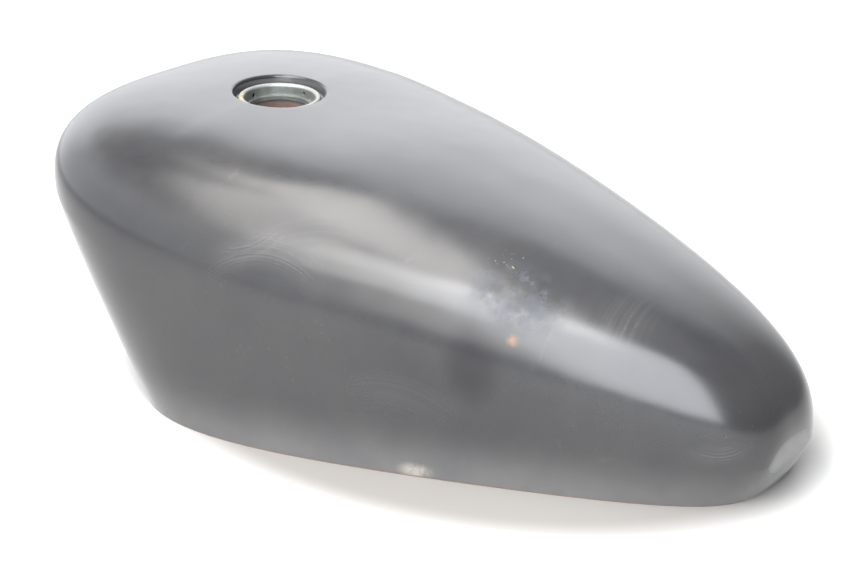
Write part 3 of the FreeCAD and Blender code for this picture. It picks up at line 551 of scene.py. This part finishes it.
def tank_paint():
    """Worn satin black with dust, wipe marks and a few spots; the tail facet gets a painted sheen of lighter
    grey.
    """
    r = Recipe("tank_paint")
    cloud = r.noise(9, 4, 0.6)
    fine = r.noise(70, 4, 0.65, shift=(3, 1, 7))
    grain = r.noise(420, 3, 0.6, shift=(5, 2, 1))

    smear = 0.0
    for *mark, strength in WIPES:
        smear = r.plus(smear, r.times(r.wipe(*mark), strength))
    scratches = hairline_scratches(r, fine)
    rub = r.blob(RUB_AT, (26, 26, 34), 0.2)
    left_by_rub = r.maths("SUBTRACT", 1.0, r.times(rub, 0.45))
    dust = r.plus(paint_dust(r, cloud, fine), smear, r.times(scratches, 0.035))
    dust_tone = r.blend(r.ramp(cloud, 0.3, 0.7), (0.30, 0.30, 0.31), (0.36, 0.345, 0.325))
    colour = r.blend(r.times(dust, left_by_rub), (0.008, 0.008, 0.0095), dust_tone)

    patchy = r.ramp(r.noise(60, 4, 0.7, shift=(9, 3, 3)), 0.38, 0.66)
    blue = r.times(r.blob(SMUDGE_AT, (46, 30, 26), 0.25), patchy)
    specks = r.times(r.dots(420, 0.24), r.blob(SPECKS_AT, (24, 12, 12), 0.3), r.ramp(fine, 0.42, 0.56))
    grit = r.times(r.dots(260, 0.085), r.ramp(cloud, 0.42, 0.7))
    rust_spot = r.times(r.blob(RUST_AT, (6, 6, 5), 0.2), r.ramp(fine, 0.35, 0.6))
    scuff = r.times(r.blob(SCUFF_AT, (17, 10, 7), 0.2), r.ramp(fine, 0.38, 0.6))
    spots = (
        (blue, 0.055, (0.24, 0.32, 0.48)),
        (specks, 0.45, (0.62, 0.52, 0.30)),
        (grit, 0.12, (0.45, 0.43, 0.38)),
        (rust_spot, 0.35, (0.30, 0.11, 0.03)),
        (scuff, 0.22, (0.50, 0.46, 0.38)),
    )
    for mask, strength, tint in spots:
        colour = r.blend(r.times(mask, strength), colour, tint)

    # Painted sheen: the tail facet is coloured a lighter, mottled grey for the light the rounded tail end
    # catches.
    depth = r.maths("SUBTRACT", r.along(FACET_NORMAL), FACET_REACH * MM)
    facet = r.ramp(depth, -0.0011, -0.0002)
    mottled = r.blend(r.ramp(fine, 0.3, 0.7), (0.070, 0.070, 0.072), (0.105, 0.103, 0.100))
    colour = r.blend(facet, colour, mottled)
    hem = r.ramp(r.along((0, 0, 1)), 0.0011, 0.0002)
    colour = r.blend(r.times(hem, r.ramp(fine, 0.25, 0.5)), colour, (0.10, 0.055, 0.03))

    roughness = r.plus(0.15, r.times(fine, 0.09), r.times(cloud, 0.07), r.times(smear, 1.2),
                       r.times(facet, 0.14), r.times(blue, 0.16))
    smudge = r.times(r.blob(SMUDGE_AT, (50, 34, 28), 0.3), r.ramp(fine, 0.25, 0.65))
    dulled = r.plus(r.times(rub, 0.34), r.times(smudge, 0.50))
    specular = r.times(r.plus(0.38, r.times(cloud, 0.24)), r.maths("SUBTRACT", 1.0, dulled))
    waves = r.noise(13, 2, 0.4, shift=(2, 2, 2))
    r.relief((waves, 0.0010), (grain, 0.00002), (scratches, -0.00002))
    return r.finish(colour, roughness, 0.0, specular)


def pan_paint():
    """Matt black underside paint, with dust lying on it and rust coming through."""
    r = Recipe("pan_paint")
    cloud = r.noise(16, 4, 0.65)
    fine = r.noise(120, 4, 0.65, shift=(4, 4, 1))
    patches = r.ramp(r.noise(34, 5, 0.7, shift=(1, 9, 2)), 0.56, 0.72)
    rust = r.times(patches, r.ramp(fine, 0.35, 0.6))
    dust = r.times(r.ramp(cloud, 0.35, 0.75), 0.25)
    colour = r.blend(dust, (0.020, 0.020, 0.021), (0.27, 0.25, 0.22))
    colour = r.blend(rust, colour, (0.17, 0.065, 0.025))
    roughness = r.plus(0.46, r.times(fine, 0.22), r.times(rust, 0.25))
    r.relief((r.noise(500, 3, 0.6), 0.00003), (rust, 0.00006), edge=0.0005)
    return r.finish(colour, roughness)


def bare_steel(name, colour_a, colour_b, rust_share, roughness):
    """Steel with a mottled plating and some rust."""
    r = Recipe(name)
    cloud = r.noise(60, 4, 0.6)
    fine = r.noise(320, 3, 0.6, shift=(2, 5, 3))
    rust = r.ramp(r.noise(90, 5, 0.7, shift=(6, 1, 4)), 0.70 - rust_share, 0.78 - rust_share * 0.5)
    colour = r.blend(r.ramp(cloud, 0.3, 0.7), colour_a, colour_b)
    colour = r.blend(rust, colour, (0.20, 0.085, 0.035))
    rough = r.plus(roughness, r.times(fine, 0.18), r.times(rust, 0.35))
    metal = r.maths("SUBTRACT", 1.0, r.times(rust, 0.9))
    r.relief((fine, 0.00004), (rust, 0.00005), edge=0.0003)
    return r.finish(colour, rough, metal)


def neck_zinc():
    """Dull grey-green zinc, bright on the lip, rusting down inside the neck."""
    r = Recipe("neck_zinc")
    fine = r.noise(170, 5, 0.7)
    cloud = r.noise(55, 4, 0.6, shift=(3, 3, 8))
    height = filler_height(r)
    deep = r.ramp(height, -0.012, -0.021)
    lip = r.ramp(height, -0.0062, -0.0046)
    colour = r.blend(r.ramp(cloud, 0.3, 0.7), (0.19, 0.205, 0.195), (0.31, 0.325, 0.31))
    colour = r.blend(r.times(lip, r.ramp(fine, 0.2, 0.6, 0.25, 0.8)), colour, (0.30, 0.30, 0.285))
    rust = r.maths("MAXIMUM", r.times(deep, r.ramp(fine, 0.25, 0.55)), r.ramp(fine, 0.66, 0.74))
    colour = r.blend(rust, colour, r.blend(cloud, (0.10, 0.050, 0.036), (0.17, 0.095, 0.075)))
    crust = r.times(r.blob(CRUST_AT, (13, 13, 7), 0.3), r.ramp(fine, 0.40, 0.52))
    colour = r.blend(crust, colour, (0.30, 0.265, 0.17))
    rough = r.plus(0.34, r.times(fine, 0.25), r.times(rust, 0.3), r.times(crust, 0.4), r.times(lip, 0.12))
    metal = r.maths("SUBTRACT", 0.85, r.times(r.maths("MAXIMUM", rust, crust), 0.8), clamp=True)
    r.relief((fine, 0.00006), (crust, 0.0004), edge=0.0003)
    return r.finish(colour, rough, metal)


def soft_black(name, base, dust, roughness, grain_scale, grain_depth):
    """Rubber, plastic or foam with a little dust in its grain."""
    r = Recipe(name)
    cloud = r.noise(45, 4, 0.6)
    grain = r.noise(grain_scale, 3, 0.6, shift=(1, 2, 3))
    colour = r.blend(r.times(r.ramp(cloud, 0.4, 0.75), dust), base, (0.30, 0.28, 0.25))
    rough = r.plus(roughness, r.times(grain, 0.18))
    r.relief((grain, grain_depth), edge=0.0004)
    return r.finish(colour, rough)


def cast_alloy():
    """Sand-cast alloy with patches of grime."""
    r = Recipe("tap_alloy")
    cloud = r.noise(50, 4, 0.6)
    sand = r.noise(650, 3, 0.7, shift=(2, 2, 5))
    grime = r.ramp(r.noise(80, 4, 0.7, shift=(8, 1, 1)), 0.5, 0.72)
    colour = r.blend(r.ramp(cloud, 0.3, 0.7), (0.42, 0.42, 0.41), (0.58, 0.58, 0.57))
    colour = r.blend(r.times(grime, 0.55), colour, (0.10, 0.085, 0.065))
    r.relief((sand, 0.00007), edge=0.0006)
    rough = r.plus(0.36, r.times(sand, 0.22), r.times(grime, 0.2))
    metal = r.maths("SUBTRACT", 0.9, r.times(grime, 0.5))
    return r.finish(colour, rough, metal)


def weld_steel():
    """Weld bead, painted over and dulled."""
    r = Recipe("weld_steel")
    fine = r.noise(260, 4, 0.65)
    tint = r.noise(30, 3, 0.6, shift=(4, 1, 2))
    colour = r.blend(r.ramp(tint, 0.35, 0.65), (0.030, 0.030, 0.032), (0.075, 0.068, 0.06))
    r.relief((fine, 0.00012))
    return r.finish(colour, r.plus(0.36, r.times(fine, 0.25)))


def studio_floor():
    """Pale floor. The camera sees it in darker steps than the light does, which keeps the tank's
    soft shadow and the far edge from burning out to white; round the tank the darker step is a painted
    shadow."""
    r = Recipe("studio_floor")
    cloud = r.noise(1.3, 3, 0.5)
    specks = r.times(r.dots(75, 0.055), r.ramp(r.noise(9, 3, 0.6), 0.50, 0.64))
    behind = r.along(-BACK)
    pale = r.blend(r.ramp(cloud, 0.3, 0.7), (0.57, 0.56, 0.545), (0.61, 0.605, 0.595))
    # Painted shadow: round the tank the camera sees a darker, warmer floor as the tank's contact shadow.
    near = r.blend(r.ramp(cloud, 0.3, 0.7), (0.190, 0.178, 0.166), (0.210, 0.201, 0.192))
    camera_floor_with_painted_shadow = r.blend(r.blob((-19, 0, 0), (300, 203, 300), 0.78), (0.50, 0.497, 0.49), near)
    line = r.ramp(r.maths("ABSOLUTE", r.maths("SUBTRACT", behind, 0.30)), 0.004, 0.0)
    camera_floor_with_painted_shadow = r.blend(r.times(line, 0.85), camera_floor_with_painted_shadow, (0.27, 0.24, 0.215))
    camera_floor_with_painted_shadow = r.blend(r.ramp(behind, -0.30, -0.80), camera_floor_with_painted_shadow, (0.080, 0.079, 0.078))
    far = r.ramp(r.vector("LENGTH", r.place, (0, 0, 0), "Value"), 2.5, 7.0)
    camera_floor_with_painted_shadow = r.blend(far, camera_floor_with_painted_shadow, (0.62, 0.615, 0.61))
    colour = r.blend(r.camera_ray(), pale, camera_floor_with_painted_shadow)
    colour = r.blend(r.times(specks, 0.45), colour, (0.33, 0.27, 0.20))
    r.relief((r.noise(300, 2, 0.5), 0.00005))
    return r.finish(colour, r.plus(0.65, r.times(cloud, 0.1)))


# ---- pieces --------------------------------------------------------------------
def tunnel_outline(steps):
    """Points of the inverted U across the tunnel, (y, height below its top)."""
    points = [(-TUNNEL_HALF, -CUTTER_DEPTH)]
    for side in (-1, 1):
        for step in range(steps + 1):
            turn = math.pi / 2 * step / steps
            turn = math.pi / 2 - turn if side == -1 else turn
            y = side * (TUNNEL_HALF - TUNNEL_RADIUS + TUNNEL_RADIUS * math.sin(turn))
            points.append((y, TUNNEL_RADIUS * math.cos(turn) - TUNNEL_RADIUS))
    points.append((TUNNEL_HALF, -CUTTER_DEPTH))
    return points


def tunnel_top(x):
    return TUNNEL_MOUTH[1] + TUNNEL_FALL * (x - TUNNEL_MOUTH[0])


def tunnel_cutter(material):
    outline = tunnel_outline(12)
    points = []
    for x in CUTTER_ENDS:
        points += [Vector((x, y, tunnel_top(x) + z)) * MM for y, z in outline]
    count = len(outline)
    faces = [[i, (i + 1) % count, count + (i + 1) % count, count + i] for i in range(count)]
    faces += [list(range(count)), list(range(count, 2 * count))]
    return make_piece("tunnel_cutter", points, faces, material, body=None, smooth=False)


def mouth_path(tree):
    """Where the tunnel's outline meets the outer skin, from one rim to the other."""
    dense = []
    outline = tunnel_outline(16)
    for (ya, za), (yb, zb) in zip(outline[:-1], outline[1:]):
        pieces = max(1, round(math.hypot(yb - ya, zb - za) / WELD_STEP))
        dense += [(ya + (yb - ya) * k / pieces, za + (zb - za) * k / pieces) for k in range(pieces)]
    path = []
    ahead = CUTTER_ENDS[0]
    direction = Vector((-1, 0, -TUNNEL_FALL)).normalized()
    for y, z in dense:
        start = Vector((ahead, y, tunnel_top(ahead) + z)) * MM
        hit = tree.ray_cast(start, direction)[0]
        if hit is not None and hit.z > 0.004:
            path.append(hit)
    return path


def cut_mouth(half, cutter, paint):
    """Opens the nose of one half for the tunnel."""
    cut = half.modifiers.new("mouth", "BOOLEAN")
    cut.object = cutter
    cut.operation = "DIFFERENCE"
    cut.solver = "EXACT"
    bpy.context.view_layer.update()
    evaluated = half.evaluated_get(bpy.context.evaluated_depsgraph_get())
    mesh = bpy.data.meshes.new_from_object(evaluated)
    half.modifiers.clear()
    half.data = mesh
    mesh.materials.clear()
    mesh.materials.append(paint)
    set_shading(mesh, True, SKIN_CREASE)


def build_skin(paint, weld):
    """Left and right halves of the painted skin, open at the nose, and the bead round the mouth."""
    points, faces = skin_half()
    points = points * MM
    mirror = points * np.array([1.0, -1.0, 1.0])
    left = make_piece("skin_left", points, faces, paint)
    right = make_piece("skin_right", mirror, [face[::-1] for face in faces], paint)
    both = np.concatenate([points, mirror])
    shifted = [[i + len(points) for i in face] for face in faces]
    tree = BVHTree.FromPolygons([tuple(p) for p in both], faces + shifted)
    path = mouth_path(tree)

    cutter = tunnel_cutter(paint)
    for half in (left, right):
        cut_mouth(half, cutter, paint)
    bpy.data.objects.remove(cutter)
    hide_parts("shell_left", "tail_plate")
    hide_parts("shell_right")
    bead = weld_bead("mouth_weld", path, weld)


def build_cup(paint):
    """The recess round the neck, pressed with a rounded corner."""
    outline = [(CUP_R, -EDGE_ROLL)]
    centre_r = CUP_WALL_R - CUP_FILLET
    for step in range(9):
        turn = math.pi / 2 * step / 8
        height = CUP_FLOOR + CUP_FILLET - CUP_FILLET * math.sin(turn)
        outline.append((centre_r + CUP_FILLET * math.cos(turn), height))
    outline += [(NECK_OUTER_R + 0.02, CUP_FLOOR), (NECK_OUTER_R + 0.02, CUP_FLOOR - SHEET),
                (CUP_R - 0.5, CUP_FLOOR - SHEET), (CUP_R + 0.9, CUP_FLOOR + 0.4), (CUP_R + 0.98, -EDGE_ROLL)]
    cup = revolved("cup", outline, FILLER_FRAME, paint)
    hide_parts("filler_cup")


# ---- light, floor, camera ------------------------------------------------------
def axes_matrix(x, y, z, at):
    """World matrix with the given axes, standing at a place."""
    rows = [(x[i], y[i], z[i], at[i]) for i in range(3)]
    return Matrix(rows + [(0, 0, 0, 1)])


def rectangle_light(name, width, height, power, colour):
    data = bpy.data.lights.new(name, "AREA")
    data.shape = "RECTANGLE"
    data.size = width
    data.size_y = height
    data.energy = power
    data.color = colour
    light = bpy.data.objects.new(name, data)
    light.visible_camera = False
    bpy.context.scene.collection.objects.link(light)
    return light


def window_light(name, turn, elevation, width, height, power, colour):
    """Soft light aimed at the tank; turn is to the camera's left of its own direction."""
    turn = math.radians(turn)
    elevation = math.radians(elevation)
    level = BACK * math.cos(turn) + LEFT * math.sin(turn)
    direction = level * math.cos(elevation) + Vector((0, 0, math.sin(elevation)))
    light = rectangle_light(name, width, height, power, colour)
    light.location = CAMERA_TARGET + direction * WINDOW_DISTANCE
    light.rotation_mode = "QUATERNION"
    light.rotation_quaternion = direction.to_track_quat("Z", "Y")


def ceiling_light(name, back, left, slope, length, width, radiance):
    """Rectangle overhead that shines straight down."""
    along = (BACK + LEFT * slope).normalized()
    across = Vector((0, 0, 1)).cross(along)
    length = length * CEILING_RISE
    width = width * CEILING_RISE
    light = rectangle_light(name, length, width, radiance * math.pi * length * width, STRIP_COLOUR)
    at = CAMERA_TARGET + (BACK * back + LEFT * left + Vector((0, 0, 1))) * CEILING_RISE
    light.matrix_world = axes_matrix(along, across, (0, 0, 1), at)


def build_world():
    """A dim room with a bright backdrop, a lit left wall and a pale ceiling with a dark gap. The
    camera itself sees plain white, a little greyer when it looks towards its own side."""
    world = bpy.data.worlds.new("studio")
    bpy.context.scene.world = world
    world.use_nodes = True
    world.node_tree.nodes.clear()
    sky = Nodes(world.node_tree, "Generated")

    up = sky.along((0, 0, 1))
    level = sky.maths("SQRT", sky.maths("SUBTRACT", 1.0, sky.times(up, up)))
    facing_backdrop = sky.maths("DIVIDE", sky.along(-BACK), sky.maths("MAXIMUM", level, 0.05))
    behind = sky.ramp(facing_backdrop, 0.55, 0.92)
    below_ceiling = sky.ramp(up, 0.84, 0.93, 1.0, 0.0)
    lit_height = sky.ramp(up, 0.0, 0.6, 0.45, 1.0)
    backdrop = sky.times(behind, below_ceiling, sky.times(lit_height, BACKDROP_LIGHT))
    left_side = sky.ramp(sky.along(LEFT), 0.25, 0.85, 0.0, LEFT_LIGHT)
    left_wall = sky.times(left_side, sky.ramp(up, 0.6, 0.85, 1.0, 0.0))
    ceiling = sky.ramp(up, 0.86, 0.96, 0.0, CEILING_LIGHT)
    total = sky.plus(sky.plus(backdrop, left_wall), sky.plus(ceiling, ROOM_LIGHT))
    gap = sky.ramp(sky.along(CEILING_GAP.normalized()), 0.94, 0.985, 1.0, 0.15)

    room = sky.add("ShaderNodeBackground")
    room.inputs["Color"].default_value = (*ROOM_COLOUR, 1)
    sky.link(sky.times(total, gap), room.inputs["Strength"])
    white = sky.add("ShaderNodeBackground")
    white.inputs["Color"].default_value = (1, 1, 1, 1)
    sky.link(sky.ramp(sky.along(BACK), 0.0, 0.55, 1.0, 0.72), white.inputs["Strength"])
    mix = sky.add("ShaderNodeMixShader")
    sky.link(sky.camera_ray(), mix.inputs[0])
    sky.link(room.outputs[0], mix.inputs[1])
    sky.link(white.outputs[0], mix.inputs[2])
    sky.link(mix.outputs[0], sky.add("ShaderNodeOutputWorld").inputs[0])


def build_studio():
    corners = [(x * FLOOR_HALF, y * FLOOR_HALF, 0) for x, y in ((-1, -1), (1, -1), (1, 1), (-1, 1))]
    floor = make_piece("floor", corners, [[0, 1, 2, 3]], studio_floor(), body=None, smooth=False)
    for window in WINDOWS:
        window_light(*window)
    for strip in STRIPS:
        ceiling_light(*strip)
    build_world()


def build_camera():
    back = Vector((-math.sin(CAMERA_AZIMUTH) * math.cos(CAMERA_ELEVATION),
                   math.cos(CAMERA_AZIMUTH) * math.cos(CAMERA_ELEVATION), math.sin(CAMERA_ELEVATION)))
    right = (-back).cross(Vector((0, 0, 1))).normalized()
    up = right.cross(-back)
    across = right * math.cos(CAMERA_ROLL) + up * math.sin(CAMERA_ROLL)
    above = up * math.cos(CAMERA_ROLL) - right * math.sin(CAMERA_ROLL)
    data = bpy.data.cameras.new("camera")
    data.sensor_width = 36
    data.lens = CAMERA_LENS
    camera = bpy.data.objects.new("camera", data)
    camera.matrix_world = axes_matrix(across, above, back, CAMERA_TARGET + back * CAMERA_DISTANCE)
    bpy.context.scene.collection.objects.link(camera)
    bpy.context.scene.camera = camera
    bpy.context.scene.view_settings.view_transform = "Standard"


def dress(node, material):
    """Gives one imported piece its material."""
    node.data.materials.clear()
    node.data.materials.append(material)


def build():
    paint = tank_paint()
    pan = pan_paint()
    inner = bare_steel("inner_steel", (0.34, 0.32, 0.30), (0.44, 0.42, 0.40), 0.16, 0.42)
    zinc = bare_steel("zinc_steel", (0.55, 0.53, 0.45), (0.68, 0.67, 0.60), 0.03, 0.26)
    brass = bare_steel("tap_brass", (0.55, 0.38, 0.15), (0.66, 0.48, 0.22), 0.0, 0.30)
    rubber = soft_black("rubber", (0.017, 0.017, 0.018), 0.30, 0.55, 260, 0.00008)
    plastic = soft_black("black_plastic", (0.02, 0.02, 0.021), 0.15, 0.36, 700, 0.00003)
    foam = soft_black("float_foam", (0.085, 0.055, 0.03), 0.20, 0.70, 900, 0.00025)
    neck = neck_zinc()
    alloy = cast_alloy()

    build_skin(paint, weld_steel())
    build_cup(paint)
    groups = (
        (neck, ("filler_neck", "filler_cam_ring")),
        (pan, ("tunnel_pan", "front_bracket_left", "front_bracket_right", "rear_bracket")),
        (inner, ("baffle_front", "baffle_rear", "drain_tube", "breather_tube", "tap_boss", "sender_ring")),
        (zinc, ("front_sleeves", "rear_sleeve", "tap_cover", "tap_cover_screws", "tap_screws", "sender_plate",
                "sender_screws", "sender_frame", "float_arm")),
        (brass, ("tap_standpipe", "tap_strainer")),
        (rubber, ("front_grommets", "rear_grommet", "tap_gasket", "sender_gasket")),
        (alloy, ("tap_body", "tap_lever")),
        (plastic, ("sender_terminal",)),
        (foam, ("float",)),
    )
    for material, names in groups:
        for name in names:
            dress(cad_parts[name], material)
    build_studio()
    build_camera()


build()
